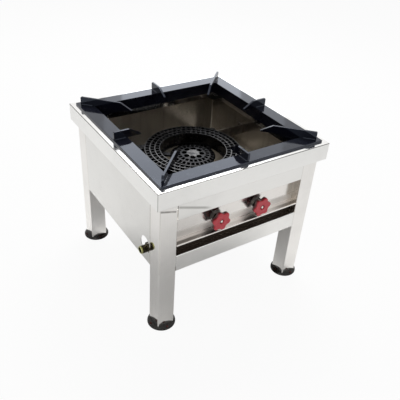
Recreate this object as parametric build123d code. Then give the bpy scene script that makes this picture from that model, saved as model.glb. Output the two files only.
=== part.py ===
from build123d import *
import math
import os

# Stock pot range: a low four-legged steel stand, a double ring gas burner,
# two gas valves with hand wheels, a drip tray and a lift-off pan support.
# Millimetres. Origin on the floor under the middle of the range.
# +Z is up, the controls face -Y, and the gas inlet leaves on the -X side.

# ---- driving dimensions ----
RIM = 530.0            # outside width and depth of the top frame
RIM_TOP = 466.0        # height of the top frame's lip
RIM_H = 50.0           # height of the top frame's outer band
RIM_INNER = 438.0      # clear opening of the top frame
SHEET = 1.5            # steel sheet of the top frame
LEG = 50.0             # square leg tube
LEG_WALL = 1.5
LEG_OUT = 249.0        # outer faces of the legs, measured from the middle
LEG_ROUND = 3.0        # corner radius of the leg tube
LEG_LOW = 1.5          # the tube's lower end, inside its foot
LEG_LID = 2.0          # welded plate that closes the tube's upper end
BEND = 1.6             # outside radius of the folds in the thin sheet
BEND_THICK = 2.0       # outside radius of the folds in the top frame
PANEL = 1.2            # steel sheet of the panels
PANEL_LOW = 200.0      # bottom edge of the side and rear panels
PANEL_FOLD = 14.0      # width of the panels' folded edges
RAIL_HIGH_Z = 359.0    # bottom edge of the front top rail
RAIL_LOW_Z0 = 195.0    # lower front rail
RAIL_LOW_Z1 = 245.0
RAIL_LEDGE = 22.0      # upper fold of that rail, which runs back under the tray
RECESS = 24.0          # how far the control panel sits back
SHELF_Z = 279.5        # top of the shelf below the knobs
SHELF_LIP = 3.0
FOOT_R = 39.3
FOOT_RIM = 2.5         # straight edge of the foot, below its dome
FOOT_H = 11.0
KNOB_X = 67.0
KNOB_Z = 311.0
KNOB_R = 28.8          # hand wheel, to the tips of its lobes
KNOB_DIP = 6.0         # how far the hollows lie inside the tips
KNOB_LOBE_R = 7.2
KNOB_T = 12.0
KNOB_FACE_Y = -254.0
KNOB_LOBES = 6
KNOB_HUB = 6.2         # recess around the nut
SPINDLE_R = 4.0
SPINDLE_END_R = 2.0    # thinner end of the spindle, for the wheel's nut
NECK_R = 10.0          # threaded neck of the valve, through the control panel
NECK_NUT = 28.0        # nut on that neck, across its flats
RUN_GAP = 0.05         # radial clearance of the turning parts
PIPE_R = 10.65         # half-inch gas pipe
PIPE_BORE = 8.0
PIPE_Y = -182.0
INLET_Z = 244.0
INLET_END_X = -268.0
RISER_X = -224.0
MANIFOLD_END_X = 108.0
HOLE_Y = -175.0        # pipe opening in the left panel
HOLE_Z = 252.0
HOLE_R = 24.0
RING_OUT = 140.5       # outer burner ring
RING_IN = 96.5
RING_TOP = 383.0
RING_H = 38.0
LEDGE_WIDE = 4.0       # inner ledge of the ring, which carries the spider
LEDGE_Z = 350.0
SPIDER_TURNS = (140, 20, 260)
COLLAR_Z = 353.0       # top of the spider's collar, seat of the inner burner
RING_ROWS = ((104.0, 44), (118.3, 50), (132.6, 56))
PORT_RADIAL = 10.8
PORT_WIDE = 11.0
PORT_DEEP = 9.0
GROOVE = 11.8          # each row of ports lies in a shallow groove, with a ridge on both sides
GROOVE_DEEP = 1.2
EAR_X = 124.0          # fixing ears of the burner ring
EAR_Y = 90.0
EAR_Z = 365.0          # underside of the ears, top of the brackets
EAR_T = 8.0
BAR_H = 31.0           # flat bar of the brackets
BAR_T = 4.0
HEAD_R = 66.0          # inner burner cap
HEAD_EDGE_Z = 357.3
HEAD_H = 12.0
HEAD_ROWS = ((57.2, 28, 10.0, 9.2), (42.6, 21, 11.4, 9.2))
HEAD_HOLES = (25.4, 8, 7.9)
TUBE_R = 15.0          # cast mixing tubes
TUBE_BORE = 11.0
MOUTH_R = 20.0         # round mouth and air shutter of each tube
NOZZLE_R = 4.5
TUBE_MOUTH_Y = -165.0
OUTER_TUBE_Z = 361.0
INNER_TUBE_Z = 329.0
CUP_LOW = 313.0        # underside of the inner burner's cup
PAN_OUT = 250.0        # pan support, half of its outside width
PAN_IN = 210.0
PAN_T = 5.0
PAN_DROP = 35.0        # depth of its inner upright leg
PAN_Z = 466.3          # underside of its flange, just above the lip
FINGER_T = 6.0
FINGER_H = 22.0
TRAY_HALF_X = 195.5
TRAY_Y0 = -230.0
TRAY_Y1 = 231.0
TRAY_Z0 = 246.0
TRAY_Z1 = 269.0
TRAY_WALL = 1.2


# ---- small building blocks ----
def block(x0, x1, y0, y1, z0, z1):
    middle = ((x0 + x1) / 2, (y0 + y1) / 2, (z0 + z1) / 2)
    return Pos(*middle) * Box(abs(x1 - x0), abs(y1 - y0), abs(z1 - z0))


def rod_x(radius, x0, x1, y, z):
    return Pos((x0 + x1) / 2, y, z) * Rot(0, 90, 0) * Cylinder(radius, abs(x1 - x0))


def rod_y(radius, x, y0, y1, z):
    return Pos(x, (y0 + y1) / 2, z) * Rot(90, 0, 0) * Cylinder(radius, abs(y1 - y0))


def rod_z(radius, x, y, z0, z1):
    return Pos(x, y, (z0 + z1) / 2) * Cylinder(radius, abs(z1 - z0))


def hexagon_y(across, x, y0, y1, z):
    outline = RegularPolygon(across / math.sqrt(3), 6)
    return Pos(x, y1, z) * Rot(90, 0, 0) * extrude(outline, abs(y1 - y0))


def hexagon_z(across, x, y, z0, z1):
    outline = RegularPolygon(across / math.sqrt(3), 6)
    return Pos(x, y, z0) * extrude(outline, abs(z1 - z0))


def square_ring(half_out, half_in, z0, z1):
    outer = block(-half_out, half_out, -half_out, half_out, z0, z1)
    return outer - block(-half_in, half_in, -half_in, half_in, z0 - 1, z1 + 1)


def at(radius, degrees):
    angle = math.radians(degrees)
    return radius * math.cos(angle), radius * math.sin(angle)


# ---- stand: legs, feet, top frame ----
def leg(sx, sy):
    """Tube, open at its foot and closed by a lid under the top frame."""
    middle = LEG_OUT - LEG / 2
    height = RIM_TOP - RIM_H - LEG_LOW
    outer = extrude(RectangleRounded(LEG, LEG, LEG_ROUND), height)
    inner_side = LEG - 2 * LEG_WALL
    inner = extrude(RectangleRounded(inner_side, inner_side, LEG_ROUND - LEG_WALL), height - LEG_LID)
    return Pos(sx * middle, sy * middle, LEG_LOW) * (outer - inner)


def foot(sx, sy):
    """Low dome with a socket for the tube and a hollow plug that fills the tube's end."""
    middle = LEG_OUT - LEG / 2
    profile = Polyline(
        (0, 0), (FOOT_R, 0), (FOOT_R, FOOT_RIM), (FOOT_R - 2.2, FOOT_RIM + 2.6),
        (FOOT_R - 7.6, FOOT_H - 2.3), (LEG / 2 - 2, FOOT_H), (0, FOOT_H),
        close=True)
    body = revolve(Plane.XZ * make_face(profile), Axis.Z)
    socket = Pos(0, 0, LEG_LOW) * extrude(RectangleRounded(LEG, LEG, LEG_ROUND), FOOT_H)
    plug_side = LEG - 2 * LEG_WALL - 0.4
    plug = extrude(RectangleRounded(plug_side, plug_side, 1.2), FOOT_H + 12)
    hollow = Pos(0, 0, 6) * extrude(RectangleRounded(plug_side - 8, plug_side - 8, 1), FOOT_H + 12)
    return Pos(sx * middle, sy * middle, 0) * (body - socket + (plug - hollow))


def top_frame():
    half_out = RIM / 2
    half_in = RIM_INNER / 2
    low = RIM_TOP - RIM_H
    outer = block(-half_out, half_out, -half_out, half_out, low, RIM_TOP)
    outer = fillet(outer.edges(), BEND_THICK)
    skin = outer - block(-half_in, half_in, -half_in, half_in, low - 1, RIM_TOP + 1)
    inner_edges = skin.edges().filter_by_position(Axis.X, -half_in - 0.1, half_in + 0.1)
    inner_edges = inner_edges.filter_by_position(Axis.Y, -half_in - 0.1, half_in + 0.1)
    skin = fillet(inner_edges.filter_by_position(Axis.Z, RIM_TOP - 0.1, RIM_TOP + 0.1), BEND_THICK)
    skin -= square_ring(half_out - SHEET, half_in + SHEET, low + SHEET, RIM_TOP - SHEET)
    for sx in (-1, 1):
        skin -= rod_z(4, sx * (half_in + 22), 0, low - 1, low + SHEET + 1)
    for sy in (-1, 1):
        skin -= rod_z(4, 0, sy * (half_in + 22), low - 1, low + SHEET + 1)
    return skin


# ---- panels between the legs ----
def wall_panel():
    """A panel facing +X with folded edges, made once and turned into place."""
    edge = LEG_OUT - LEG
    top = RIM_TOP - RIM_H
    face_x = LEG_OUT - PANEL
    fold_x = LEG_OUT - PANEL_FOLD
    panel = block(face_x, LEG_OUT, -edge, edge, PANEL_LOW, top)
    for side in (-1, 1):
        panel += block(fold_x, face_x, side * (edge - PANEL), side * edge, PANEL_LOW, top)
    panel += block(fold_x, face_x, -edge, edge, PANEL_LOW, PANEL_LOW + PANEL)
    folds = panel.edges().filter_by_position(Axis.X, LEG_OUT - 0.01, LEG_OUT + 0.01)
    return fillet(folds.filter_by_position(Axis.Z, PANEL_LOW - 0.1, top - 0.1), BEND)


def side_panel_left():
    panel = Rot(0, 0, 180) * wall_panel()
    return panel - rod_x(HOLE_R, -LEG_OUT - 1, -LEG_OUT + 3, HOLE_Y, HOLE_Z)


def front_top_rail():
    edge = LEG_OUT - LEG
    top = RIM_TOP - RIM_H
    back = -LEG_OUT + RECESS
    rail = block(-edge, edge, -LEG_OUT, -LEG_OUT + PANEL, RAIL_HIGH_Z, top)
    rail += block(-edge, edge, -LEG_OUT, back, RAIL_HIGH_Z, RAIL_HIGH_Z + PANEL)
    return fillet(front_folds(rail).filter_by_position(Axis.Z, RAIL_HIGH_Z - 0.1, RAIL_HIGH_Z + 0.1), BEND)


def front_folds(sheet):
    """The long edges on the front face of a folded rail."""
    return sheet.edges().filter_by(Axis.X).filter_by_position(Axis.Y, -LEG_OUT - 0.01, -LEG_OUT + 0.01)


def control_panel():
    edge = LEG_OUT - LEG
    back = -LEG_OUT + RECESS
    panel = block(-edge, edge, back, back + PANEL, SHELF_Z - PANEL, RAIL_HIGH_Z + 14)
    panel += block(-edge, edge, -LEG_OUT, back, SHELF_Z - PANEL, SHELF_Z)
    panel += block(-edge, edge, -LEG_OUT, -LEG_OUT + PANEL, SHELF_Z - SHELF_LIP, SHELF_Z)
    panel = fillet(front_folds(panel).filter_by_position(Axis.Z, SHELF_Z - 0.1, SHELF_Z + 0.1), BEND)
    for sx in (-1, 1):
        panel -= rod_y(NECK_R + 0.3, sx * KNOB_X, back - 2, back + 4, KNOB_Z)
    return panel


def lower_front_rail():
    edge = LEG_OUT - LEG
    rail = block(-edge, edge, -LEG_OUT, -LEG_OUT + PANEL, RAIL_LOW_Z0, RAIL_LOW_Z1)
    for z0, wide in ((RAIL_LOW_Z0, PANEL_FOLD), (RAIL_LOW_Z1 - PANEL, RAIL_LEDGE)):
        rail += block(-edge, edge, -LEG_OUT, -LEG_OUT + wide, z0, z0 + PANEL)
    return fillet(front_folds(rail), BEND)


def tray_runner(sx):
    edge = LEG_OUT - LEG
    top = TRAY_Z0 - 0.3
    front = -LEG_OUT + RAIL_LEDGE + 0.3
    runner = block(sx * (edge - 16), sx * edge, front, 231, top - 1.5, top)
    return runner + block(sx * (edge - 1.5), sx * edge, front, 231, top - 16, top)


# ---- burner ----
def ring_ports():
    """Square flame ports in three rows on the flat top of the ring."""
    ports = []
    for radius, count in RING_ROWS:
        port = Box(PORT_RADIAL, PORT_WIDE, PORT_DEEP)
        low = RING_TOP - PORT_DEEP / 2 + 0.5
        for i in range(count):
            turn = 360.0 * i / count
            ports.append(Rot(0, 0, turn) * Pos(radius, 0, low) * port)
    return ports


def tube_mouth(x, z):
    """Round box at a tube's front end: three air windows around the nozzle's hole."""
    front = TUBE_MOUTH_Y
    mouth = rod_y(MOUTH_R, x, front, front + 10, z)
    mouth -= rod_y(MOUTH_R - 4, x, front + 2, front + 8, z)
    mouth -= rod_y(TUBE_BORE, x, front + 7, front + 11, z)
    mouth -= rod_y(5.2, x, front - 1, front + 3, z)
    return mouth - air_windows(x, front - 1, front + 3, z)


def air_windows(x, y0, y1, z):
    windows = []
    for i in range(3):
        dx, dz = at(11.4, 120 * i + 90)
        windows.append(rod_y(3.6, x + dx, y0, y1, z + dz))
    return windows


def outer_burner():
    low = RING_TOP - RING_H
    ledge = RING_IN - LEDGE_WIDE
    profile = Polyline(
        (RING_IN, RING_TOP), (RING_OUT, RING_TOP), (RING_OUT, RING_TOP - 16),
        (RING_OUT - 7, low), (ledge, low), (ledge, LEDGE_Z), (RING_IN, LEDGE_Z),
        close=True)
    ring = revolve(Plane.XZ * make_face(profile), Axis.Z)
    keep = rod_z(RING_IN - 3, 0, 0, low - 5, RING_TOP + 5)
    ring += rod_y(TUBE_R, KNOB_X, TUBE_MOUTH_Y + 9, -100, OUTER_TUBE_Z) - keep
    for sx in (-1, 1):
        for sy in (-1, 1):
            ring += ear(sx, sy)
    ring -= rod_y(TUBE_BORE, KNOB_X, TUBE_MOUTH_Y + 8, -112, OUTER_TUBE_Z)
    ring += tube_mouth(KNOB_X, OUTER_TUBE_Z)
    for radius, count in RING_ROWS:
        groove = rod_z(radius + GROOVE / 2, 0, 0, RING_TOP - GROOVE_DEEP, RING_TOP + 1)
        ring -= groove - rod_z(radius - GROOVE / 2, 0, 0, RING_TOP - 3, RING_TOP + 2)
    ring -= ring_ports()
    return ring


def burner_spider():
    """Three arms that lie on the ring's inner ledge and carry the inner burner's collar."""
    collar = rod_z(50, 0, 0, COLLAR_Z - 7, COLLAR_Z) - rod_z(34, 0, 0, COLLAR_Z - 8, COLLAR_Z + 1)
    for turn in SPIDER_TURNS:
        arm = block(46.2, RING_IN - 0.3, -7, 7, LEDGE_Z, LEDGE_Z + 6)
        collar += Rot(0, 0, turn) * arm
    return collar


def inner_burner():
    """Cup with its bent mixing tube; it hangs in the collar of the spider."""
    collar = COLLAR_Z
    start = (-KNOB_X, TUBE_MOUTH_Y + 9, INNER_TUBE_Z)
    bend = (-KNOB_X, -90.4, INNER_TUBE_Z)
    straight = Line(start, bend)
    x1 = -KNOB_X + 60 * (1 - math.cos(math.radians(45)))
    y1 = -90.4 + 60 * math.sin(math.radians(45))
    mx = -KNOB_X + 60 * (1 - math.cos(math.radians(22.5)))
    my = -90.4 + 60 * math.sin(math.radians(22.5))
    curve = ThreePointArc(bend, (mx, my, INNER_TUBE_Z), (x1, y1, INNER_TUBE_Z))
    run = Line((x1, y1, INNER_TUBE_Z), (x1 + 33, y1 + 33, INNER_TUBE_Z))
    path = straight + curve + run
    section = Plane(origin=start, z_dir=(0, 1, 0))
    body = sweep(section * Circle(TUBE_R), path=path)
    body += rod_z(33.5, 0, 0, CUP_LOW, collar)
    body += rod_z(46, 0, 0, collar, HEAD_EDGE_Z - 0.3)
    body -= rod_z(29, 0, 0, CUP_LOW + 4, HEAD_EDGE_Z + 1)
    body -= sweep(section * Circle(TUBE_BORE), path=path)
    return body + tube_mouth(-KNOB_X, INNER_TUBE_Z)


def inner_burner_cap():
    """Low cap with two rows of square ports round a ring of round ones."""
    edge = HEAD_EDGE_Z
    profile = Polyline(
        (0, edge + HEAD_H), (17, edge + HEAD_H), (50, edge + 9.6), (HEAD_R - 3.4, edge + 6.8),
        (HEAD_R, edge + 4), (HEAD_R - 1.5, edge), (28.9, edge), (28.9, edge - 10),
        (25, edge - 10), (25, edge + 2), (0, edge + 2),
        close=True)
    cap = revolve(Plane.XZ * make_face(profile), Axis.Z)
    ports = []
    for radius, count, radial, wide in HEAD_ROWS:
        for i in range(count):
            turn = 360.0 * (i + 0.5) / count
            ports.append(Rot(0, 0, turn) * Pos(radius, 0, edge + 10) * Box(radial, wide, 12))
    radius, count, hole = HEAD_HOLES
    for i in range(count):
        x, y = at(radius, 360.0 * i / count + 12)
        ports.append(rod_z(hole, x, y, edge + 4, edge + 16))
    return cap - ports


def air_shutter(x, z):
    """Disc with three windows that turns on the injector in front of a mixing tube."""
    y0 = TUBE_MOUTH_Y - 1.9
    disc = rod_y(MOUTH_R, x, y0, y0 + 1.6, z)
    disc += rod_y(7, x, y0 - 5, y0, z)
    disc -= rod_y(NOZZLE_R + RUN_GAP, x, y0 - 6, y0 + 3, z)
    disc -= air_windows(x, y0 - 1, y0 + 3, z)
    return disc + block(x - 4, x + 4, y0, y0 + 1.6, z + MOUTH_R - 1, z + MOUTH_R + 6)


def bracket(sx, sy):
    """Flat bar on edge with a folded foot, from the side panel to an ear of the ring."""
    wall = LEG_OUT - PANEL
    y0 = EAR_Y - BAR_T / 2
    bar = block(116, wall, y0, y0 + BAR_T, EAR_Z - BAR_H, EAR_Z)
    bar += block(wall - BAR_T, wall, y0, y0 + 22, EAR_Z - BAR_H, EAR_Z)
    bar -= rod_y(4, EAR_X + 2, y0 - 1, y0 + BAR_T + 1, EAR_Z - 12)
    if sx < 0:
        bar = mirror(bar, about=Plane.YZ)
    if sy < 0:
        bar = mirror(bar, about=Plane.XZ)
    return bar


def ear(sx, sy):
    """Cast ear that rests on a bracket, with a lug beside it for the bolt."""
    back = EAR_Y + BAR_T / 2
    shape = block(98, EAR_X + 14, EAR_Y - 11, back + 9, EAR_Z, EAR_Z + EAR_T)
    shape += block(EAR_X - 9, EAR_X + 14, back, back + 9, EAR_Z - 24, EAR_Z)
    shape -= rod_z(RING_OUT - 3, 0, 0, EAR_Z - 30, EAR_Z + EAR_T + 1)
    shape -= rod_y(4, EAR_X + 2, back - 1, back + 10, EAR_Z - 12)
    if sx < 0:
        shape = mirror(shape, about=Plane.YZ)
    if sy < 0:
        shape = mirror(shape, about=Plane.XZ)
    return shape


def ring_bolts():
    bolts = []
    face = EAR_Y - BAR_T / 2
    back = EAR_Y + BAR_T / 2 + 9
    z = EAR_Z - 12
    for sx in (-1, 1):
        for sy in (-1, 1):
            x = sx * (EAR_X + 2)
            bolt = hexagon_y(13, x, face - 5.3, face, z) + rod_y(4, x, face, back, z)
            bolt += hexagon_y(13, x, back, back + 6.5, z)
            bolts.append(bolt if sy > 0 else mirror(bolt, about=Plane.XZ))
    return Compound(children=bolts)


# ---- gas line ----
def gas_pipes():
    """Inlet stub, two elbows, riser, manifold and end cap, with one bore through them."""
    hollow_x = rod_x(PIPE_BORE, INLET_END_X - 1, RISER_X, PIPE_Y, INLET_Z)
    hollow_z = rod_z(PIPE_BORE, RISER_X, PIPE_Y, INLET_Z, KNOB_Z)
    hollow_m = rod_x(PIPE_BORE, RISER_X, MANIFOLD_END_X - 6, PIPE_Y, KNOB_Z)
    bore = hollow_x + hollow_z + hollow_m
    bore += Pos(RISER_X, PIPE_Y, INLET_Z) * Sphere(PIPE_BORE)
    bore += Pos(RISER_X, PIPE_Y, KNOB_Z) * Sphere(PIPE_BORE)
    fit_r = PIPE_R + 2.6
    reach = 22.0
    low = Pos(RISER_X, PIPE_Y, INLET_Z) * Sphere(fit_r)
    low += rod_x(fit_r, RISER_X - reach, RISER_X, PIPE_Y, INLET_Z)
    low += rod_z(fit_r, RISER_X, PIPE_Y, INLET_Z, INLET_Z + reach)
    high = Pos(RISER_X, PIPE_Y, KNOB_Z) * Sphere(fit_r)
    high += rod_x(fit_r, RISER_X, RISER_X + reach, PIPE_Y, KNOB_Z)
    high += rod_z(fit_r, RISER_X, PIPE_Y, KNOB_Z - reach, KNOB_Z)
    bead_r = fit_r + 1.5
    low += rod_x(bead_r, RISER_X - reach, RISER_X - reach + 5, PIPE_Y, INLET_Z)
    low += rod_z(bead_r, RISER_X, PIPE_Y, INLET_Z + reach - 5, INLET_Z + reach)
    high += rod_x(bead_r, RISER_X + reach - 5, RISER_X + reach, PIPE_Y, KNOB_Z)
    high += rod_z(bead_r, RISER_X, PIPE_Y, KNOB_Z - reach, KNOB_Z - reach + 5)
    stub = rod_x(PIPE_R, INLET_END_X, RISER_X - reach, PIPE_Y, INLET_Z)
    riser = rod_z(PIPE_R, RISER_X, PIPE_Y, INLET_Z + reach, KNOB_Z - reach)
    manifold = rod_x(PIPE_R, RISER_X + reach, MANIFOLD_END_X, PIPE_Y, KNOB_Z)
    cap = rod_x(fit_r, MANIFOLD_END_X, MANIFOLD_END_X + 6, PIPE_Y, KNOB_Z)
    return {
        "inlet_pipe": stub - bore,
        "elbow_low": low - bore,
        "elbow_high": high - bore,
        "riser_pipe": riser - bore,
        "manifold_pipe": manifold - bore,
        "manifold_cap": cap,
    }


def valve_body(x):
    back = -LEG_OUT + RECESS + PANEL
    body = rod_y(12, x, back + 8, PIPE_Y - 4, KNOB_Z) + hexagon_y(23, x, back, back + 8, KNOB_Z)
    body += rod_y(NECK_R, x, back - PANEL - 6.6, back, KNOB_Z)
    body -= rod_x(PIPE_R, x - 30, x + 30, PIPE_Y, KNOB_Z)
    return body - rod_y(SPINDLE_R + RUN_GAP, x, back - 10, -205, KNOB_Z)


def panel_nut(x):
    front = -LEG_OUT + RECESS
    nut = hexagon_y(NECK_NUT, x, front - 6, front, KNOB_Z)
    return nut - rod_y(NECK_R, x, front - 7, front + 1, KNOB_Z)


def feed_tube(x, z):
    """Short rise from the valve and the injector holder above the manifold."""
    y = -209.0
    tube = rod_z(6, x, y, KNOB_Z + 10, z) - rod_y(12, x, -230, -180, KNOB_Z)
    tube += Pos(x, y, z) * Sphere(6)
    return tube + rod_y(6, x, y, -182, z)


def injector(x, z):
    """Brass hexagon and nozzle; the nozzle carries the air shutter."""
    jet = hexagon_y(13, x, -182, -172.5, z)
    jet += rod_y(NOZZLE_R, x, -172.5, -160, z)
    return jet - rod_y(0.8, x, -168, -159, z)


# ---- hand wheels ----
def knob(x, turn):
    """Moulded wheel with round lobes, a hollow back and a recess for its nut."""
    outline = Circle(KNOB_R - KNOB_DIP)
    outline += PolarLocations(KNOB_R - KNOB_LOBE_R, KNOB_LOBES) * Circle(KNOB_LOBE_R)
    outline = fillet(outline.vertices(), 3.4)
    wheel = extrude(outline, KNOB_T)
    wheel = chamfer(wheel.edges().filter_by_position(Axis.Z, KNOB_T - 0.1, KNOB_T + 0.1), 1.6)
    wheel -= Pos(0, 0, 2) * (Cylinder(19, 6) - Cylinder(10, 7))
    wheel += Pos(0, 0, -1.75) * Cylinder(9, 3.5)
    wheel -= Pos(0, 0, KNOB_T) * Cylinder(KNOB_HUB, KNOB_HUB * 1.6)
    wheel -= Pos(0, 0, 4) * Cylinder(SPINDLE_R, 24)
    place = Pos(x, KNOB_FACE_Y + KNOB_T, KNOB_Z) * Rot(90, 0, 0) * Rot(0, 0, turn)
    return place * wheel


def spindle(x):
    """Rod with a thinner threaded end for the wheel's nut."""
    seat = KNOB_FACE_Y + KNOB_HUB * 0.8
    return rod_y(SPINDLE_R, x, seat, -206, KNOB_Z) + rod_y(SPINDLE_END_R, x, seat - 3.4, seat, KNOB_Z)


def knob_nut(x):
    """Washer and domed nut on the thinner end."""
    seat = KNOB_FACE_Y + KNOB_HUB * 0.8
    nut = rod_y(5.4, x, seat - 0.8, seat, KNOB_Z) + hexagon_y(7, x, seat - 3.4, seat - 0.8, KNOB_Z)
    nut += Pos(x, seat - 3.8, KNOB_Z) * Rot(90, 0, 0) * Cone(3.2, 2.0, 0.8)
    return nut - rod_y(SPINDLE_END_R, x, seat - 3.4, seat + 1, KNOB_Z)


# ---- pan support and tray ----
def pan_frame():
    """Welded square of angle iron: a flat flange and an upright leg inside it."""
    outer = block(-PAN_OUT, PAN_OUT, -PAN_OUT, PAN_OUT, PAN_Z, PAN_Z + PAN_T)
    outer = fillet(outer.edges().filter_by_position(Axis.Z, PAN_Z + 0.1, PAN_Z + PAN_T + 0.1), 1.0)
    frame = outer - block(-PAN_IN, PAN_IN, -PAN_IN, PAN_IN, PAN_Z - 1, PAN_Z + PAN_T + 1)
    drop = PAN_Z + PAN_T - PAN_DROP
    return frame + square_ring(PAN_IN + PAN_T, PAN_IN, drop, PAN_Z)


def finger(length_in, length_out, turn):
    """Upright plate on the frame, cut to a slope at its inner end."""
    low = PAN_Z + PAN_T
    high = low + FINGER_H
    outline = Polyline(
        (length_in, low), (length_out, low), (length_out, high - 2), (length_out - 2, high),
        (length_in + 34, high), (length_in, low + 2.5),
        close=True)
    plate = extrude(Plane.XZ * make_face(outline), FINGER_T / 2, both=True)
    along = plate.edges().filter_by_position(Axis.Z, high - 0.1, high + 0.1).filter_by(Axis.X)
    return Rot(0, 0, turn) * fillet(along, 0.8)


def drip_tray():
    outer = block(-TRAY_HALF_X, TRAY_HALF_X, TRAY_Y0, TRAY_Y1, TRAY_Z0, TRAY_Z1)
    inner = block(
        -TRAY_HALF_X + TRAY_WALL, TRAY_HALF_X - TRAY_WALL,
        TRAY_Y0 + TRAY_WALL, TRAY_Y1 - TRAY_WALL, TRAY_Z0 + TRAY_WALL, TRAY_Z1 + 1)
    return outer - inner


# ---- build and write ----
def all_parts():
    parts = {}
    sides = (("left", -1), ("right", 1))
    for depth_name, sy in (("front", -1), ("rear", 1)):
        for side_name, sx in sides:
            parts["leg_%s_%s" % (depth_name, side_name)] = leg(sx, sy)
            parts["foot_%s_%s" % (depth_name, side_name)] = foot(sx, sy)
            parts["bracket_%s_%s" % (depth_name, side_name)] = bracket(sx, sy)
    parts["top_frame"] = top_frame()
    parts["side_panel_left"] = side_panel_left()
    parts["side_panel_right"] = wall_panel()
    parts["rear_panel"] = Rot(0, 0, 90) * wall_panel()
    parts["front_top_rail"] = front_top_rail()
    parts["control_panel"] = control_panel()
    parts["lower_front_rail"] = lower_front_rail()
    parts["outer_burner"] = outer_burner()
    parts["burner_spider"] = burner_spider()
    parts["inner_burner"] = inner_burner()
    parts["inner_burner_cap"] = inner_burner_cap()
    parts["ring_bolts"] = ring_bolts()
    parts.update(gas_pipes())
    tube_heights = {"left": INNER_TUBE_Z, "right": OUTER_TUBE_Z}
    knob_turns = {"left": 44.8, "right": 6.6}
    for side_name, sx in sides:
        x = sx * KNOB_X
        z = tube_heights[side_name]
        parts["tray_runner_" + side_name] = tray_runner(sx)
        parts["valve_body_" + side_name] = valve_body(x)
        parts["panel_nut_" + side_name] = panel_nut(x)
        parts["feed_tube_" + side_name] = feed_tube(x, z)
        parts["injector_" + side_name] = injector(x, z)
        parts["air_shutter_" + side_name] = air_shutter(x, z)
        parts["knob_" + side_name] = knob(x, knob_turns[side_name])
        parts["spindle_" + side_name] = spindle(x)
        parts["knob_nut_" + side_name] = knob_nut(x)
    parts["drip_tray"] = drip_tray()
    parts["pan_frame"] = pan_frame()
    for i, name in enumerate(("right", "rear", "left", "front")):
        parts["finger_" + name] = finger(170, 248, 90 * i)
    corners = ("rear_right", "rear_left", "front_left", "front_right")
    for i, name in enumerate(corners):
        parts["finger_" + name] = finger(184, 337, 45 + 90 * i)
    return parts


os.makedirs("parts", exist_ok=True)
for node_name, shape in all_parts().items():
    export_step(shape, "parts/%s.step" % node_name)
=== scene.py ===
import bpy
import math
from mathutils import Matrix, Vector


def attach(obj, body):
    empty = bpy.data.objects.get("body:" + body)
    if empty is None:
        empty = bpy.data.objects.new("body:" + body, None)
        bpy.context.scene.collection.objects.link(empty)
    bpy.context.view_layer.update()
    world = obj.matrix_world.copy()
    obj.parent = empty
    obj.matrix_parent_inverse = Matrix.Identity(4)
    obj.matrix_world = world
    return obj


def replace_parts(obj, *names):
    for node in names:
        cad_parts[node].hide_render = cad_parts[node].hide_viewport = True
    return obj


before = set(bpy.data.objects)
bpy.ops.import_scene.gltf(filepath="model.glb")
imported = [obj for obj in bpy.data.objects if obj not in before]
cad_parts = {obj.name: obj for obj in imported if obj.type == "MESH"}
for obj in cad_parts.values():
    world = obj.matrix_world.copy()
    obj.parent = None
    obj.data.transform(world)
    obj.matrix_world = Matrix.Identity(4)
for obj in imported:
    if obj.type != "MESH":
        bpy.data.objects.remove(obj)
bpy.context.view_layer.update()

# ---- studio: camera, floor and lamps ----
# A square picture taken from the left of the front and from above, slightly rolled.
# A pale floor, an even white surround and four soft lamps; none of it is part of the range.
# The lamps rear_right and rear_spread are weak, and stand where the enamel flange mirrors them in the main view.
CAMERA_AT = Vector((-0.7339, -1.0929, 1.1192))
CAMERA_AZIMUTH = math.radians(-35.202)
CAMERA_ELEVATION = math.radians(34.826)
CAMERA_ROLL = math.radians(4.202)
CAMERA_LENS = 46.657
FLOOR_SIDE = 24.0
FLOOR_WHITE_SEEN = 0.93
FLOOR_WHITE_GLOSS = 0.1
SURROUND_LIGHT = 0.42
LAMP_AIM = Vector((0, 0, 0.25))

back = Vector((
    math.sin(CAMERA_AZIMUTH) * math.cos(CAMERA_ELEVATION),
    -math.cos(CAMERA_AZIMUTH) * math.cos(CAMERA_ELEVATION),
    math.sin(CAMERA_ELEVATION)))
level = Vector((math.cos(CAMERA_AZIMUTH), math.sin(CAMERA_AZIMUTH), 0))
upright = back.cross(level)
camera_x = level * math.cos(CAMERA_ROLL) + upright * math.sin(CAMERA_ROLL)
camera_y = upright * math.cos(CAMERA_ROLL) - level * math.sin(CAMERA_ROLL)
camera = bpy.data.objects.new("camera", bpy.data.cameras.new("camera"))
camera.data.sensor_width = 36
camera.data.lens = CAMERA_LENS
camera.matrix_world = Matrix.Translation(CAMERA_AT) @ Matrix((camera_x, camera_y, back)).transposed().to_4x4()
bpy.context.collection.objects.link(camera)
bpy.context.scene.camera = camera
bpy.context.scene.view_settings.view_transform = "Standard"


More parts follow.
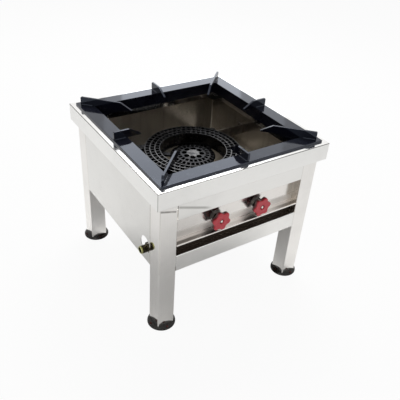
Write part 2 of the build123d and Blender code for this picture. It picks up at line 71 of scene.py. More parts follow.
class Signal:
    """A socket of a material. Sums on it add Math nodes, and node() adds any other kind."""

    def __init__(self, tree, socket=None):
        self.tree = tree
        self.socket = socket

    def node(self, kind, settings=None, sockets=None, output=0):
        made = self.tree.nodes.new("ShaderNode" + kind)
        for name, value in (settings or {}).items():
            if name == "stops":
                place_stops(made.color_ramp, value)
            else:
                setattr(made, name, value)
        for name, value in (sockets or {}).items():
            if isinstance(value, Signal):
                self.tree.links.new(value.socket, made.inputs[name])
            else:
                made.inputs[name].default_value = value
        return Signal(self.tree, made.outputs[output] if len(made.outputs) else None)

    def maths(self, operation, first, second):
        return self.node("Math", {"operation": operation}, {0: first, 1: second})

    def __add__(self, other):
        return self.maths("ADD", self, other)

    __radd__ = __add__

    def __mul__(self, other):
        return self.maths("MULTIPLY", self, other)

    __rmul__ = __mul__

    def __sub__(self, other):
        return self.maths("SUBTRACT", self, other)

    def __rsub__(self, other):
        return self.maths("SUBTRACT", other, self)

    def __truediv__(self, other):
        return self.maths("DIVIDE", self, other)

    def __pow__(self, other):
        return self.maths("POWER", self, other)

    def clamped(self):
        return self.node("Clamp", sockets={"Value": self})

    def rise(self, start, end):
        """0 below start and 1 above end, with a smooth rise between."""
        return self.node("MapRange", {"interpolation_type": "SMOOTHSTEP"}, {
            "Value": self, "From Min": start, "From Max": end, "To Min": 0.0, "To Max": 1.0})


def place_stops(ramp, stops):
    while len(ramp.elements) < len(stops):
        ramp.elements.new(1.0)
    for element, (position, shade) in zip(ramp.elements, stops):
        element.position = position
        element.color = shade


def lit_white(tree, target, plain, camera_share, glossy_share):
    """Shows `plain` to lamps and other surfaces, and white to the camera and in gloss by these shares."""
    start = Signal(tree)
    path = start.node("LightPath", output="Is Camera Ray")
    gloss = start.node("LightPath", output="Is Glossy Ray")
    through = start.node("LightPath", output="Is Transmission Ray")
    share = (path * camera_share + gloss * glossy_share + through * glossy_share).clamped()
    white = start.node("Emission", sockets={"Color": (1, 1, 1, 1), "Strength": 1.0})
    mixed = start.node("MixShader", sockets={0: share, 1: plain, 2: white})
    tree.links.new(mixed.socket, target)


world = bpy.data.worlds.new("surround")
world.use_nodes = True
world.node_tree.nodes.clear()
sky = Signal(world.node_tree)
soft = sky.node("Background", sockets={"Color": (0.97, 0.985, 1.0, 1), "Strength": SURROUND_LIGHT})
bare = sky.node("Background", sockets={"Color": (1, 1, 1, 1), "Strength": 1.0})
seen = sky.node("LightPath", output="Is Camera Ray") + sky.node("LightPath", output="Is Glossy Ray")
seen = (seen + sky.node("LightPath", output="Is Transmission Ray")).clamped()
shown = sky.node("MixShader", sockets={0: seen, 1: soft, 2: bare})
world_end = world.node_tree.nodes.new("ShaderNodeOutputWorld")
world.node_tree.links.new(shown.socket, world_end.inputs["Surface"])
bpy.context.scene.world = world

bpy.ops.object.select_all(action="DESELECT")
bpy.ops.mesh.primitive_plane_add(size=FLOOR_SIDE, location=(0, 0, 0))
floor = bpy.context.object
floor.name = "floor"
floor_look = bpy.data.materials.new("floor_paper")
floor_look.use_nodes = True
floor_look.node_tree.nodes.clear()
paper = Signal(floor_look.node_tree).node(
    "BsdfDiffuse", sockets={"Color": (0.86, 0.86, 0.855, 1), "Roughness": 0.6})
floor_end = floor_look.node_tree.nodes.new("ShaderNodeOutputMaterial")
lit_white(floor_look.node_tree, floor_end.inputs["Surface"], paper, FLOOR_WHITE_SEEN, FLOOR_WHITE_GLOSS)
floor.data.materials.append(floor_look)


def finish(name, metallic=0.0, rough=0.5, colour=(0.5, 0.5, 0.5), **fixed):
    """A new material with one shader; numbers given here are set on the shader's own sockets."""
    made = bpy.data.materials.new(name)
    made.use_nodes = True
    shader = made.node_tree.nodes["Principled BSDF"]
    shader.inputs["Metallic"].default_value = metallic
    shader.inputs["Roughness"].default_value = rough
    shader.inputs["Base Color"].default_value = (*colour, 1)
    for socket, value in fixed.items():
        shader.inputs[socket.replace("_", " ")].default_value = value
    return made, Signal(made.node_tree), shader


def soft_lamp(name, at, size, watts, colour):
    lamp = bpy.data.objects.new(name, bpy.data.lights.new(name, "AREA"))
    lamp.data.shape = "RECTANGLE"
    lamp.data.size, lamp.data.size_y = size
    lamp.data.energy = watts
    lamp.data.color = colour
    lamp.location = at
    lamp.rotation_mode = "QUATERNION"
    lamp.rotation_quaternion = (LAMP_AIM - Vector(at)).to_track_quat("-Z", "Y")
    lamp.visible_camera = False
    bpy.context.collection.objects.link(lamp)


soft_lamp("lamp_rear", (0.75, 1.15, 2.45), (1.5, 1.3), 48, (1.0, 0.985, 0.965))
soft_lamp("lamp_rear_right", (1.003, 1.669, 1.50), (0.83, 1.3), 4.1, (0.90, 0.94, 1.0))
soft_lamp("lamp_rear_spread", (1.082, 1.616, 1.50), (1.26, 1.3), 2.6, (0.90, 0.94, 1.0))
soft_lamp("lamp_front_left", (-1.7, -1.3, 1.9), (1.4, 1.4), 6, (1.0, 0.99, 0.97))


# ---- legs: square stainless tube ----
# Four lengths of 50 mm square tube, ground along their length and left bright.
# Each stands in its foot's socket and is welded to the top frame and to the panels beside it.
def feed(shader, **links):
    for socket, signal in links.items():
        signal.tree.links.new(signal.socket, shader.inputs[socket.replace("_", " ")])


def grain(start, scale, detail=3.0, rough=0.55, stretch=(1, 1, 1), warp=0.0):
    """Noise on the object's own coordinates; stretch draws it out along an axis."""
    place = start.node("TexCoord", output="Object")
    place = start.node("Mapping", sockets={"Vector": place, "Scale": stretch})
    return start.node("TexNoise", sockets={
        "Vector": place, "Scale": scale, "Detail": detail, "Roughness": rough, "Distortion": warp})


def tinted(start, share, first, second):
    """Goes from the first colour to the second by a share from 0 to 1; a colour may be a Signal."""
    first, second = [each if isinstance(each, Signal) else (*each, 1) for each in (first, second)]
    return start.node("Mix", {"data_type": "RGBA"}, {"Factor": share, 6: first, 7: second}, output=2)


def relief(start, height, depth, strength=1.0, under=None):
    """A bump of a given depth in metres, on top of another bump if one is given."""
    sockets = {"Height": height, "Distance": depth, "Strength": strength}
    if under:
        sockets["Normal"] = under
    return start.node("Bump", sockets=sockets)


def bright_steel(name, bright, shade, dull, along, dent):
    """Bright stainless sheet or tube: drawn-out polishing lines, handling smears and faint dents."""
    made, start, shader = finish(name, metallic=1.0)
    lines = grain(start, 1.0, 2.0, 0.6, along)
    smears = grain(start, 7.0, 4.0, 0.62, (1, 1, 1), 0.6).rise(0.42, 0.72)
    flecks = grain(start, 160.0, 2.0, 0.5).rise(0.68, 0.78)
    wear = (smears * 0.55 + lines * 0.45).clamped()
    feed(
        shader,
        Base_Color=tinted(start, wear, bright, shade),
        Roughness=(lines * 0.07 + smears * 0.06 + flecks * 0.10 + dull).clamped())
    swell = relief(start, grain(start, 5.0, 1.0, 0.4), dent)
    feed(shader, Normal=relief(start, lines, 0.00002, 0.35, swell))
    return made


def coordinate(start, axis):
    """The object's own coordinate along X, Y or Z."""
    place = start.node("TexCoord", output="Object")
    return start.node("SeparateXYZ", sockets={"Vector": place}, output=axis)


def so_far(start, shader, socket):
    """What feeds this socket of the shader up to now."""
    return Signal(start.tree, shader.inputs[socket].links[0].from_socket)


def dress(names, look):
    """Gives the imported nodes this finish."""
    for node_name in names:
        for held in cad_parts[node_name].material_slots:
            held.material = look


PANEL_SKIN = 0.2484
FACE_Y = -0.2492
PANEL_LOW = 0.2
LID_LOW = 0.4158


def browned(made):
    """Stains the inner side of a bright finish: the change lies in the middle of the metal. The legs' lids under the
    top frame get painted shade, near black.
    """
    start = Signal(made.node_tree)
    shader = made.node_tree.nodes["Principled BSDF"]
    across, deep, height = [coordinate(start, axis) for axis in "XYZ"]
    reach = start.maths("MAXIMUM", start.maths("ABSOLUTE", across, 0), start.maths("ABSOLUTE", deep, 0))
    inside = (1 - reach.rise(PANEL_SKIN - 0.0002, PANEL_SKIN + 0.0002)) * height.rise(
        PANEL_LOW - 0.004, PANEL_LOW + 0.004)
    blotch = grain(start, 4.0, 3.0, 0.5, (1, 1, 0.5), 0.4).rise(0.3, 0.72)
    streak = grain(start, 1.0, 3.0, 0.6, (40, 40, 3)).rise(0.45, 0.75)
    soot = (height.rise(0.30, 0.43) * 0.35 + blotch * 0.3 + streak * 0.25).clamped()
    plain_colour = so_far(start, shader, "Base Color")
    plain_rough = so_far(start, shader, "Roughness")
    # Painted shade: the legs' lids under the top frame are near black.
    lid = height.rise(LID_LOW - 0.0002, LID_LOW)
    soot_and_lid_shade = tinted(start, lid, (0.21, 0.185, 0.155), (0.004, 0.004, 0.003))
    brown = tinted(start, (soot + lid).clamped(), (0.66, 0.62, 0.56), soot_and_lid_shade)
    feed(
        shader,
        Base_Color=tinted(start, inside, plain_colour, brown),
        Roughness=(plain_rough * (1 - inside) + (blotch * 0.08 + lid + 0.17) * inside).clamped())
    return made


def marked(made, lines, shade):
    """Draws dark marks into a finish, real seams and painted shade alike: `lines` makes their share from the object's
    x, y and z.
    """
    start = Signal(made.node_tree)
    shader = made.node_tree.nodes["Principled BSDF"]
    axes = [coordinate(start, axis) for axis in "XYZ"]
    plain = so_far(start, shader, "Base Color")
    feed(shader, Base_Color=tinted(start, lines(start, *axes).clamped(), plain, shade))
    return made


def leg_painted_shade(start, across, deep, height):
    """A dark stroke of painted shade across the front left leg, standing in for the dip a weld has pulled into its
    face.
    """
    stroke_height = 0.4005 - (across + 0.248) * 0.285
    near = start.maths("ABSOLUTE", height - stroke_height, 0)
    corner = (1 - across.rise(-0.206, -0.2035)) * (1 - deep.rise(FACE_Y, FACE_Y + 0.0008))
    ragged = grain(start, 60.0, 3.0, 0.6).rise(0.25, 0.6) * 0.4 + 0.6
    return (1 - near.rise(0.0010, 0.0042)) * corner * ragged * 0.85


CORNERS = [(depth, side) for depth in ("front", "rear") for side in ("left", "right")]
leg_look = marked(browned(bright_steel(
    "leg_steel", (0.92, 0.90, 0.875), (0.82, 0.80, 0.775), 0.0, (420, 420, 5), 0.0005)), leg_painted_shade, (0.10, 0.09, 0.08))
dress(["leg_%s_%s" % corner for corner in CORNERS], leg_look)

# ---- feet: round and black ----
# Blackened round feet, each with a socket and a plug for its tube and a screw through each side.
foot_look, foot_start, foot_shader = finish("foot_black", Specular_IOR_Level=0.3)
foot_dust = grain(foot_start, 130.0, 4.0, 0.65).rise(0.45, 0.8)
feed(
    foot_shader,
    Base_Color=tinted(foot_start, foot_dust, (0.006, 0.005, 0.004), (0.045, 0.034, 0.028)),
    Roughness=(foot_dust * 0.25 + 0.22).clamped(),
    Normal=relief(foot_start, grain(foot_start, 300.0, 2.0, 0.5), 0.0003, 0.5))
dress(["foot_%s_%s" % corner for corner in CORNERS], foot_look)


def bare():
    bpy.ops.object.select_all(action="DESELECT")


def seal(piece, angle=35):
    """Ends edit mode with outward faces, then shades the piece smooth except at sharp edges."""
    bpy.ops.mesh.select_all(action="SELECT")
    bpy.ops.mesh.remove_doubles(threshold=0.00001)
    bpy.ops.mesh.normals_make_consistent(inside=False)
    bpy.ops.object.mode_set(mode="OBJECT")
    bpy.ops.object.transform_apply(location=True, rotation=True, scale=True)
    bpy.ops.object.shade_smooth_by_angle(angle=math.radians(angle))
    return piece


def twin(piece, name, turn, shift):
    """A copy with its own mesh, turned about an axis through the origin and then moved."""
    bare()
    other = piece.copy()
    other.data = piece.data.copy()
    other.name = name
    bpy.context.collection.objects.link(other)
    other.select_set(True)
    bpy.context.view_layer.objects.active = other
    other.rotation_euler = turn
    other.location = shift
    bpy.ops.object.transform_apply(location=True, rotation=True, scale=True)
    return other


def pick(piece, choose):
    """In edit mode, selects the faces whose centre and normal pass the test."""
    bpy.ops.mesh.select_all(action="DESELECT")
    bpy.ops.object.mode_set(mode="OBJECT")
    for face in piece.data.polygons:
        face.select = choose(face.center, face.normal)
    bpy.ops.object.mode_set(mode="EDIT")


def pick_points(piece, choose):
    """Ends in edit mode with the vertices selected that pass the test."""
    bpy.ops.object.mode_set(mode="EDIT")
    bpy.ops.mesh.select_all(action="DESELECT")
    bpy.ops.object.mode_set(mode="OBJECT")
    for p in piece.data.vertices:
        p.select = choose(p)
    bpy.ops.object.mode_set(mode="EDIT")
    bpy.ops.mesh.select_mode(type="VERT")


# Cheese-head screws of 6.4 mm, one through each side of a foot into the plug inside the tube.
FOOT_OFF = 0.225
SCREW_R = 0.0032
SCREW_OUT = 0.0335
SCREW_Z = 0.0075
SCREW_TILT = math.radians(33.7)
bare()
bpy.ops.mesh.primitive_cylinder_add(vertices=24, radius=SCREW_R, depth=0.0028, end_fill_type="NGON")
screw = bpy.context.object
screw.name = "foot_screw"
bpy.ops.object.mode_set(mode="EDIT")
bpy.ops.mesh.select_mode(type="FACE")
pick(screw, lambda centre, normal: normal.z > 0.9)
bpy.ops.mesh.bevel(offset=0.0006, segments=2)
pick(screw, lambda centre, normal: normal.z > 0.99 and centre.z > 0.0013)
bpy.ops.mesh.inset(thickness=0.0010)
bpy.ops.mesh.extrude_region_move(TRANSFORM_OT_translate={"value": (0, 0, -0.0009)})
seal(screw)
screw_look, screw_start, screw_shader = finish("screw_steel", metallic=1.0)
screw_rust = grain(screw_start, 420.0, 3.0).rise(0.4, 0.65)
feed(
    screw_shader,
    Base_Color=tinted(screw_start, screw_rust, (0.075, 0.030, 0.028), (0.022, 0.008, 0.007)),
    Roughness=(screw_rust * 0.25 + 0.25).clamped())
screw.data.materials.append(screw_look)
for depth, depth_sign in (("front", -1), ("rear", 1)):
    for side, side_sign in (("left", -1), ("right", 1)):
        for quarter in range(4):
            around = math.radians(90 * quarter)
            placed = twin(
                screw, "foot_screw_%s_%s_%d" % (depth, side, quarter), (0, SCREW_TILT, around),
                (side_sign * FOOT_OFF + SCREW_OUT * math.cos(around),
                 depth_sign * FOOT_OFF + SCREW_OUT * math.sin(around), SCREW_Z))
            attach(placed, "stand")
bpy.data.objects.remove(screw)

# ---- top frame: polished sheet folded into a square box section ----
# Four mitred lengths with a flat lip and a 50 mm band, welded and ground at the corners.
top_look = bright_steel(
    "top_sheet", (0.93, 0.922, 0.905), (0.86, 0.852, 0.835), 0.06, (60, 60, 60), 0.0005)


BAND_FOLD = 0.2634
BAND_FOLD_Z = 0.4644
BAND_LOW = 0.4162
BAND_CORNER = 0.2637
LIP_SKIN = 0.4655


def top_seams_and_painted_shade(start, across, deep, height):
    """Dark lines: painted reflection along the outer fold, painted shade along the cut lower edge, and the ground
    corner edges and the mitres.
    """
    across = start.maths("ABSOLUTE", across, 0)
    deep = start.maths("ABSOLUTE", deep, 0)
    reach = start.maths("MAXIMUM", across, deep)
    least = start.maths("MINIMUM", across, deep)
    fold = reach.rise(BAND_FOLD, BAND_FOLD + 0.0003) * height.rise(BAND_FOLD_Z, BAND_FOLD_Z + 0.0003)
    edge = 1 - height.rise(BAND_LOW, BAND_LOW + 0.0008)
    corner = least.rise(BAND_CORNER, BAND_CORNER + 0.0005)
    mitre = (1 - (reach - least).rise(0.0002, 0.0005)) * height.rise(LIP_SKIN, LIP_SKIN + 0.0003)
    return fold * 0.9 + edge * 0.6 + corner * 0.8 + mitre * 0.5


marked(top_look, top_seams_and_painted_shade, (0.10, 0.095, 0.085))
dress(["top_frame"], top_look)

# ---- side and rear panels: thin bright sheet ----
# Flush between the legs. Outside they are bright; inside they are browned and dulled by the flame.
panel_look = browned(bright_steel(
    "panel_sheet", (0.83, 0.82, 0.80), (0.77, 0.76, 0.74), 0.07, (70, 70, 70), 0.0010))
dress(["side_panel_left", "side_panel_right", "rear_panel"], panel_look)

# ---- front rails and control panel: folded bright sheet ----
# The control panel sits back under the top rail, so the hand wheels stay inside the top's outline.
def rail_painted_shade(start, across, deep, height):
    """A dark stroke of painted shade by the left leg, standing in for a dent in the top rail."""
    along = (across + 0.215) / 0.115
    stroke_height = 0.4040 - along * 0.0400 + along ** 2.0 * 0.0010
    near = start.maths("ABSOLUTE", height - stroke_height, 0)
    inside = (across - -0.200).rise(0.0, 0.004) * (1 - across.rise(-0.125, -0.095))
    return (1 - near.rise(0.0005, 0.0060)) * inside * (1 - deep.rise(FACE_Y, FACE_Y + 0.0008)) * 0.7


rail_look = browned(bright_steel(
    "rail_sheet", (0.90, 0.89, 0.87), (0.82, 0.81, 0.79), 0.07, (8, 500, 500), 0.0008))
rail_start = Signal(rail_look.node_tree)
rail_shader = rail_look.node_tree.nodes["Principled BSDF"]
rail_deep = coordinate(rail_start, "Y")
rail_high = coordinate(rail_start, "Z")
rail_colour = so_far(rail_start, rail_shader, "Base Color")
rail_rough = so_far(rail_start, rail_shader, "Roughness")
# Painted highlight: a near-white line along the lower rail's top fold.
fold_painted_highlight = rail_high.rise(0.2434, 0.2437) * (1 - rail_deep.rise(-0.2470, -0.2462))
feed(
    rail_shader,
    Base_Color=tinted(rail_start, fold_painted_highlight, rail_colour, (0.99, 0.985, 0.97)),
    Roughness=(rail_rough + fold_painted_highlight * 0.35).clamped())
dress(["lower_front_rail", "tray_runner_left", "tray_runner_right"], rail_look)
top_rail_look = marked(browned(bright_steel(
    "top_rail_sheet", (0.90, 0.89, 0.87), (0.82, 0.81, 0.79), 0.07, (8, 500, 500), 0.0008)),
    rail_painted_shade, (0.22, 0.215, 0.20))
dress(["front_top_rail"], top_rail_look)


def shelf_painted_reflection(start, across, deep, height):
    """The shelf in front of the control panel carries painted dark reflection, strongest at both ends and in a strip
    just behind its lip; the lip itself is left bright.
    """
    share = 0.92 - across.rise(-0.16, -0.05) * 0.62 + across.rise(0.10, 0.16) * 0.5
    front = deep.rise(-0.2468, -0.2462) * (1 - deep.rise(-0.2370, -0.2320) * 0.7)
    return (1 - height.rise(0.2798, 0.2802)) * front * share


control_look = marked(bright_steel(
    "control_sheet", (0.88, 0.85, 0.82), (0.80, 0.765, 0.73), 0.15, (60, 60, 60), 0.0020),
    shelf_painted_reflection, (0.10, 0.09, 0.08))
control_start = Signal(control_look.node_tree)
control_shader = control_look.node_tree.nodes["Principled BSDF"]
control_high = coordinate(control_start, "Z")
control_rough = so_far(control_start, control_shader, "Roughness")
scoured = (1 - control_high.rise(0.290, 0.306)) * control_high.rise(0.2800, 0.2804)
feed(control_shader, Roughness=(control_rough + scoured * 0.30).clamped())
dress(["control_panel"], control_look)

# ---- drip tray: folded sheet that slides out under the controls ----
# Its front wall is painted near black, as painted shade inside the slot; the floor is dull and lighter, in blotches.
tray_look, tray_start, tray_shader = finish("tray_sheet", metallic=1.0)
tray_deep = coordinate(tray_start, "Y")
tray_front = 1 - tray_deep.rise(-0.2289, -0.2286)
tray_blotch = grain(tray_start, 14.0, 5.0, 0.6, (1, 1, 1), 0.7).rise(0.35, 0.7)
tray_floor = tinted(tray_start, tray_blotch, (0.42, 0.40, 0.37), (0.20, 0.185, 0.16))
feed(
    tray_shader,
    Base_Color=tinted(tray_start, tray_front, tray_floor, (0.030, 0.022, 0.018)),
    Roughness=(tray_blotch * 0.15 + tray_front * 0.15 + 0.3).clamped(),
    Normal=relief(tray_start, grain(tray_start, 6.0, 1.0), 0.0006))
dress(["drip_tray"], tray_look)

# ---- burner brackets: flat bar on edge ----
# Mill finish bar, blued and browned where it runs close to the flames.
bar_look, bar_start, bar_shader = finish("bar_steel", metallic=1.0)
bar_heat = grain(bar_start, 18.0, 4.0, 0.6, (1, 1, 1), 0.5).rise(0.3, 0.7)
feed(
    bar_shader,
    Base_Color=tinted(bar_start, bar_heat, (0.17, 0.15, 0.13), (0.06, 0.052, 0.045)),
    Roughness=(bar_heat * 0.2 + 0.34).clamped(),
    Normal=relief(bar_start, grain(bar_start, 240.0, 3.0), 0.0002, 0.4))
dress(["bracket_%s_%s" % corner for corner in CORNERS], bar_look)
dress(["air_shutter_left", "air_shutter_right"], bar_look)

# ---- bolts: zinc-plated hexagons ----
# They clamp the ring's ears to the brackets and the valves to the control panel.
bolt_look, bolt_start, bolt_shader = finish("bolt_zinc", metallic=1.0)
bolt_wear = grain(bolt_start, 90.0, 3.0).rise(0.4, 0.7)
feed(
    bolt_shader,
    Base_Color=tinted(bolt_start, bolt_wear, (0.82, 0.81, 0.79), (0.60, 0.58, 0.54)),
    Roughness=(bolt_wear * 0.2 + 0.18).clamped())
dress(["ring_bolts"], bolt_look)
nut_look, nut_start, nut_shader = finish("nut_dark", metallic=1.0)
nut_wear = grain(nut_start, 90.0, 3.0).rise(0.5, 0.8)
feed(
    nut_shader,
    Base_Color=tinted(nut_start, nut_wear, (0.045, 0.04, 0.038), (0.12, 0.11, 0.10)),
    Roughness=(nut_wear * 0.2 + 0.12).clamped())
dress(["panel_nut_left", "panel_nut_right"], nut_look)

# ---- burner: black iron castings ----
# An outer ring with three rows of ports, a spider inside it, and an inner cup with a lift-off cap.
RING_TOP = 0.3824
RING_IN = 0.0955
iron_look, iron_start, iron_shader = finish("cast_iron_black", metallic=1.0)
iron_skin = grain(iron_start, 700.0, 3.0, 0.6)
iron_wear = grain(iron_start, 45.0, 4.0, 0.6).rise(0.4, 0.75)
iron_across, iron_deep, iron_high = [coordinate(iron_start, axis) for axis in "XYZ"]
iron_reach = (iron_across ** 2.0 + iron_deep ** 2.0) ** 0.5
ring_top = iron_high.rise(RING_TOP, RING_TOP + 0.0004) * iron_reach.rise(RING_IN, RING_IN + 0.0002)
ring_wall = iron_reach.rise(RING_IN - 0.0005, RING_IN + 0.0003) * (
    1 - iron_reach.rise(RING_IN + 0.0012, RING_IN + 0.0020)) * (1 - ring_top)
# Painted shade: the ring's top is less bright over its rear half. The cap's centre is lighter in blotches.
rear_painted_shade = iron_deep.rise(-0.02, 0.08)
cap_centre = (1 - iron_reach.rise(0.016, 0.024)) * iron_high.rise(0.355, 0.357)
cap_centre_blotch = grain(iron_start, 55.0, 2.0, 0.5).rise(0.42, 0.58) * 0.75 + 0.15
polish_and_painted_shade = (
    ring_top * (0.8 - rear_painted_shade * 0.5) + ring_wall * 0.3 + cap_centre * cap_centre_blotch + iron_wear * 0.12).clamped()
feed(
    iron_shader,
    Base_Color=tinted(iron_start, polish_and_painted_shade, (0.008, 0.008, 0.009), (0.085, 0.083, 0.082)),
    Roughness=(iron_skin * 0.08 + iron_wear * 0.10 + 0.20).clamped(),
    Normal=relief(iron_start, iron_skin, 0.0002, 0.3))
dress(["outer_burner", "burner_spider", "inner_burner", "inner_burner_cap"], iron_look)

# ---- gas pipes: half-inch steel pipe with cast elbows ----
# Dark, lightly oiled pipe; the inlet end is a dull brass nipple.
pipe_look, pipe_start, pipe_shader = finish("pipe_dark", metallic=1.0)
pipe_wear = grain(pipe_start, 40.0, 4.0).rise(0.35, 0.7)
feed(
    pipe_shader,
    Base_Color=tinted(pipe_start, pipe_wear, (0.16, 0.15, 0.135), (0.09, 0.075, 0.06)),
    Roughness=(pipe_wear * 0.25 + 0.35).clamped(),
    Normal=relief(pipe_start, grain(pipe_start, 500.0, 2.0), 0.0002, 0.4))
dress(["elbow_low", "elbow_high", "riser_pipe", "manifold_pipe", "manifold_cap"], pipe_look)


def brass_look(name, clean, dark, dull):
    made, start, shader = finish(name, metallic=1.0)
    tarnish = grain(start, 55.0, 4.0, 0.6).rise(0.3, 0.7)
    feed(
        shader,
        Base_Color=tinted(start, tarnish, clean, dark),
        Roughness=(tarnish * 0.22 + dull).clamped(),
        Normal=relief(start, grain(start, 600.0, 2.0), 0.0001, 0.3))
    return made


def lathe(rings, axis, centre):
    """Draws the selected loop out through rings: each is (radius, place along the axis)."""
    radius, place = rings[0]
    for next_radius, next_place in rings[1:]:
        step = [0, 0, 0]
        step[axis] = next_place - place
        bpy.ops.mesh.extrude_region_move(TRANSFORM_OT_translate={"value": tuple(step)})
        growth = [next_radius / radius] * 3
        growth[axis] = 1
        middle = list(centre)
        middle[axis] = next_place
        bpy.ops.transform.resize(value=tuple(growth), center_override=tuple(middle))
        radius, place = next_radius, next_place


# Half-inch pipe thread, drawn as ten rings and not as a helix: 21.2 mm over the crests, 1.81 mm apart.
PIPE_Y = -0.182
INLET_Z = 0.244
INLET_END = -0.268
INLET_IN = -0.246
PIPE_BORE = 0.008
PIPE_CREST = 0.0106
PIPE_ROOT = 0.0095
PITCH = 0.00181
inlet_rings = [(PIPE_BORE, INLET_IN), (PIPE_BORE, INLET_END + 0.0006), (PIPE_BORE + 0.0005, INLET_END)]
inlet_rings += [(PIPE_ROOT - 0.0003, INLET_END), (PIPE_ROOT, INLET_END + 0.0006)]
for turn in range(10):
    low = INLET_END + 0.0012 + turn * PITCH
    inlet_rings += [(PIPE_ROOT, low), (PIPE_CREST, low + PITCH * 0.40), (PIPE_CREST, low + PITCH * 0.55)]
inlet_rings += [(PIPE_ROOT, INLET_END + 0.0012 + 10 * PITCH), (PIPE_CREST, INLET_IN - 0.0008)]
inlet_rings += [(PIPE_CREST, INLET_IN), (PIPE_BORE, INLET_IN)]
bare()
bpy.ops.mesh.primitive_circle_add(
    vertices=48, radius=PIPE_BORE, fill_type="NOTHING", location=(INLET_IN, PIPE_Y, INLET_Z),
    rotation=(0, math.radians(90), 0))
inlet = bpy.context.object
inlet.name = "inlet_thread"
bpy.ops.object.transform_apply(location=True, rotation=True, scale=True)
bpy.ops.object.mode_set(mode="EDIT")
bpy.ops.mesh.select_mode(type="VERT")
bpy.ops.mesh.select_all(action="SELECT")
lathe(inlet_rings, 0, (0, PIPE_Y, INLET_Z))
seal(inlet, 30)
inlet_look, inlet_start, inlet_shader = finish("inlet_brass", metallic=1.0)
inlet_along = coordinate(inlet_start, "X")
inlet_stain = grain(inlet_start, 240.0, 4.0, 0.6).rise(0.3, 0.7)
inlet_tip = 1 - inlet_along.rise(-0.2642, -0.2630)
inlet_dark = tinted(inlet_start, inlet_stain, (0.10, 0.085, 0.05), (0.02, 0.018, 0.014))
feed(
    inlet_shader,
    Base_Color=tinted(inlet_start, inlet_tip, inlet_dark, (0.42, 0.41, 0.20)),
    Roughness=(inlet_stain * 0.18 + 0.16).clamped(),
    Normal=relief(inlet_start, inlet_stain, 0.0001, 0.3))
inlet.data.materials.append(inlet_look)
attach(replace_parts(inlet, "inlet_pipe"), "stand")

# ---- valves, feed tubes and injectors: turned brass ----
# The valve bodies screw onto saddles of the manifold; each feeds one nozzle.
valve_look = brass_look("valve_brass", (0.80, 0.62, 0.30), (0.50, 0.38, 0.18), 0.2)
for side in ("left", "right"):
    dress(["valve_body_" + side, "feed_tube_" + side, "injector_" + side], valve_look)

# ---- hand wheels: red moulded plastic on steel spindles ----
# Six-lobed wheels of 58 mm with a hollow back, held by a washer and a domed nut in a recess of the hub.
# Each is one moulding; its spindle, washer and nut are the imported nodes.
WHEEL_FACE = -0.254
WHEEL_ACROSS = 0.067
WHEEL_HIGH = 0.311
WHEEL_RADII = (0.0287, 0.02838, 0.02738, 0.0256, 0.0236, 0.0228, 0.0227)
WHEEL_INNER = (
    (0.0041, 0.0154), (0.0041, 0.0050), (0.0062, 0.0049), (0.0063, 0.0010), (0.0071, 0.0001),
    (0.0100, 0.0000), (0.0112, 0.0005), (0.0185, 0.0006), (0.0200, 0.0002))
WHEEL_RIM = (
    (0.935, 0.0000), (0.975, 0.0004), (0.995, 0.0013), (1.0, 0.0030), (1.0, 0.0100), (0.985, 0.0116),
    (0.95, 0.0120))
WHEEL_BACK = (
    (0.0190, 0.0120), (0.0187, 0.0074), (0.0104, 0.0072), (0.0100, 0.0119), (0.0090, 0.0122),
    (0.0088, 0.0150), (0.0083, 0.0154), (0.0041, 0.0154))


def from_face(rings):
    return [(radius, WHEEL_FACE + behind) for radius, behind in rings]


def reshape(piece, radii):
    """Moves the selected ring to these radii, from the tip of a lobe to the middle of a hollow."""
    bpy.ops.object.mode_set(mode="OBJECT")
    ring = {p.index for p in piece.data.vertices if p.select}

    def step(p):
        around = math.degrees(math.atan2(p.co.z, p.co.x)) % 60
        return round(min(around, 60 - around) / 5)

    for number, wanted in enumerate(radii):
        members = [p for p in piece.data.vertices if p.index in ring and step(p) == number]
        growth = wanted / math.hypot(members[0].co.x, members[0].co.z)
        chosen = {p.index for p in members}
        pick_points(piece, lambda p: p.index in chosen)
        bpy.ops.transform.resize(value=(growth, 1, growth), center_override=(0, 0, 0))
        bpy.ops.object.mode_set(mode="OBJECT")
    pick_points(piece, lambda p: p.index in ring)


bare()
bpy.ops.mesh.primitive_circle_add(
    vertices=72, radius=WHEEL_INNER[0][0], fill_type="NOTHING",
    location=(0, WHEEL_FACE + WHEEL_INNER[0][1], 0), rotation=(math.radians(90), 0, 0))
wheel = bpy.context.object
wheel.name = "wheel_moulding"
bpy.ops.object.transform_apply(location=True, rotation=True, scale=True)
bpy.ops.object.mode_set(mode="EDIT")
bpy.ops.mesh.select_mode(type="VERT")
bpy.ops.mesh.select_all(action="SELECT")
lathe(from_face(WHEEL_INNER), 1, (0, 0, 0))
lathe(from_face([WHEEL_INNER[-1], (0.0215, WHEEL_RIM[0][1])]), 1, (0, 0, 0))
reshape(wheel, [radius * WHEEL_RIM[0][0] for radius in WHEEL_RADII])
lathe(from_face(WHEEL_RIM), 1, (0, 0, 0))
lathe(from_face([(1, WHEEL_RIM[-1][1]), (0.9, WHEEL_BACK[0][1])]), 1, (0, 0, 0))
reshape(wheel, [WHEEL_BACK[0][0]] * len(WHEEL_RADII))
lathe(from_face(WHEEL_BACK), 1, (0, 0, 0))
seal(wheel, 180)
rounding = wheel.modifiers.new("rounding", "SUBSURF")
rounding.levels = 1
rounding.render_levels = 1
bpy.ops.object.modifier_apply(modifier="rounding")
wheel_look, wheel_start, wheel_shader = finish("wheel_red")
wheel_wear = grain(wheel_start, 120.0, 4.0).rise(0.45, 0.8)
wheel_deep = coordinate(wheel_start, "Y")
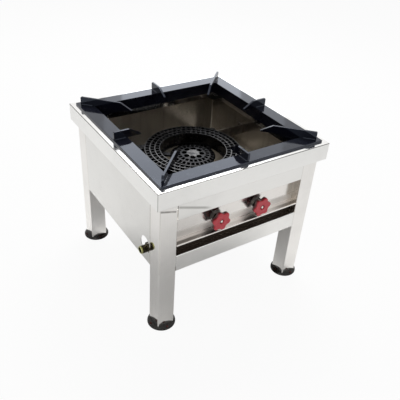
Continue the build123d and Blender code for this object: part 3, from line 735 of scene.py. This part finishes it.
# Painted shade: the wheels' sides turn dark red and their hidden backs near black.
wheel_back = wheel_deep.rise(-0.2530, -0.2490)
wheel_hidden = wheel_deep.rise(-0.2490, -0.2430)
wheel_face = tinted(wheel_start, wheel_wear, (0.60, 0.035, 0.055), (0.68, 0.09, 0.11))
wheel_side = tinted(wheel_start, wheel_back, wheel_face, (0.16, 0.006, 0.012))
feed(
    wheel_shader,
    Base_Color=tinted(wheel_start, wheel_hidden, wheel_side, (0.030, 0.002, 0.004)),
    Roughness=(wheel_wear * 0.2 + 0.28).clamped(),
    Normal=relief(wheel_start, grain(wheel_start, 700.0, 2.0), 0.0001, 0.3))
wheel.data.materials.append(wheel_look)
for side, side_sign, turned in (("left", -1, 44.8), ("right", 1, 6.6)):
    made = twin(
        wheel, "wheel_" + side, (0, -math.radians(turned), 0), (side_sign * WHEEL_ACROSS, 0, WHEEL_HIGH))
    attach(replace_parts(made, "knob_" + side), side + "_hand_wheel")
bpy.data.objects.remove(wheel)
# Painted shade: all beyond 3.6 mm from the spindle's axis is near black, as the shade in the hub's recess; only the
# middle of the nut stays light.
stem_look, stem_start, stem_shader = finish("stem_steel", metallic=1.0)
stem_across = stem_start.maths("ABSOLUTE", coordinate(stem_start, "X"), 0) - WHEEL_ACROSS
stem_high = coordinate(stem_start, "Z") - WHEEL_HIGH
stem_reach = (stem_across ** 2.0 + stem_high ** 2.0) ** 0.5
feed(
    stem_shader,
    Base_Color=tinted(
        stem_start, stem_reach.rise(0.0036, 0.0040), (0.80, 0.74, 0.70), (0.03, 0.008, 0.009)),
    Roughness=(grain(stem_start, 300.0, 3.0) * 0.2 + 0.12).clamped())
dress(["spindle_left", "spindle_right", "knob_nut_left", "knob_nut_right"], stem_look)

# ---- pan support: black enamelled angle frame with eight fingers ----
# A welded square of 40 mm angle rests on the lip; upright plates carry the pot.
enamel_look, enamel_start, enamel_shader = finish(
    "enamel_black", Specular_IOR_Level=0.55, Specular_Tint=(0.70, 0.80, 1.0, 1))
enamel_dust = grain(enamel_start, 24.0, 5.0, 0.65, (1, 1, 1), 0.5).rise(0.45, 0.8)
feed(
    enamel_shader,
    Base_Color=tinted(enamel_start, enamel_dust, (0.004, 0.004, 0.008), (0.009, 0.010, 0.016)),
    Roughness=(enamel_dust * 0.10 + 0.07).clamped(),
    Normal=relief(enamel_start, grain(enamel_start, 60.0, 2.0), 0.0001, 0.25))
pan_nodes = [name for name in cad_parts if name.startswith("finger_")] + ["pan_frame"]
dress(pan_nodes, enamel_look)

# Weld beads of 4 mm along the foot of each finger, on both sides, with the ripples of the run.
BEAD_R = 0.0021
BEAD_LONG = 0.033
RIPPLES = 9
FLANGE_TOP = 0.4713
BEAD_CORNER = 0.318
BEAD_SIDE = 0.230
BEAD_ASIDE = 0.0030
bare()
bpy.ops.mesh.primitive_cylinder_add(
    vertices=12, radius=BEAD_R, depth=BEAD_LONG, end_fill_type="NGON", rotation=(0, math.radians(90), 0))
bead = bpy.context.object
bead.name = "weld_bead"
bpy.ops.object.transform_apply(location=True, rotation=True, scale=True)
bpy.ops.object.mode_set(mode="EDIT")
bpy.ops.mesh.select_mode(type="VERT")
for cut in range(1, 2 * RIPPLES):
    bpy.ops.mesh.select_all(action="SELECT")
    bpy.ops.mesh.bisect(
        plane_co=(BEAD_LONG * (cut / (2 * RIPPLES) - 0.5), 0, 0), plane_no=(1, 0, 0))
for ridge in range(0, 2 * RIPPLES + 1, 2):
    place = BEAD_LONG * (ridge / (2 * RIPPLES) - 0.5)
    pick_points(bead, lambda p: abs(p.co.x - place) < 0.0004)
    narrow = 0.35 if ridge in (0, 2 * RIPPLES) else 0.84
    bpy.ops.transform.resize(value=(1, narrow, narrow), center_override=(place, 0, 0))
seal(bead, 60)
bead.data.materials.append(enamel_look)
for spot in range(8):
    around = math.radians(45 * spot)
    middle = BEAD_CORNER if spot % 2 else BEAD_SIDE
    for side_name, aside in (("a", -BEAD_ASIDE), ("b", BEAD_ASIDE)):
        run = twin(bead, "weld_bead_%d_%s" % (spot, side_name), (0, 0, around), (
            middle * math.cos(around) - aside * math.sin(around),
            middle * math.sin(around) + aside * math.cos(around), FLANGE_TOP))
        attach(run, "pan_support")
bpy.data.objects.remove(bead)
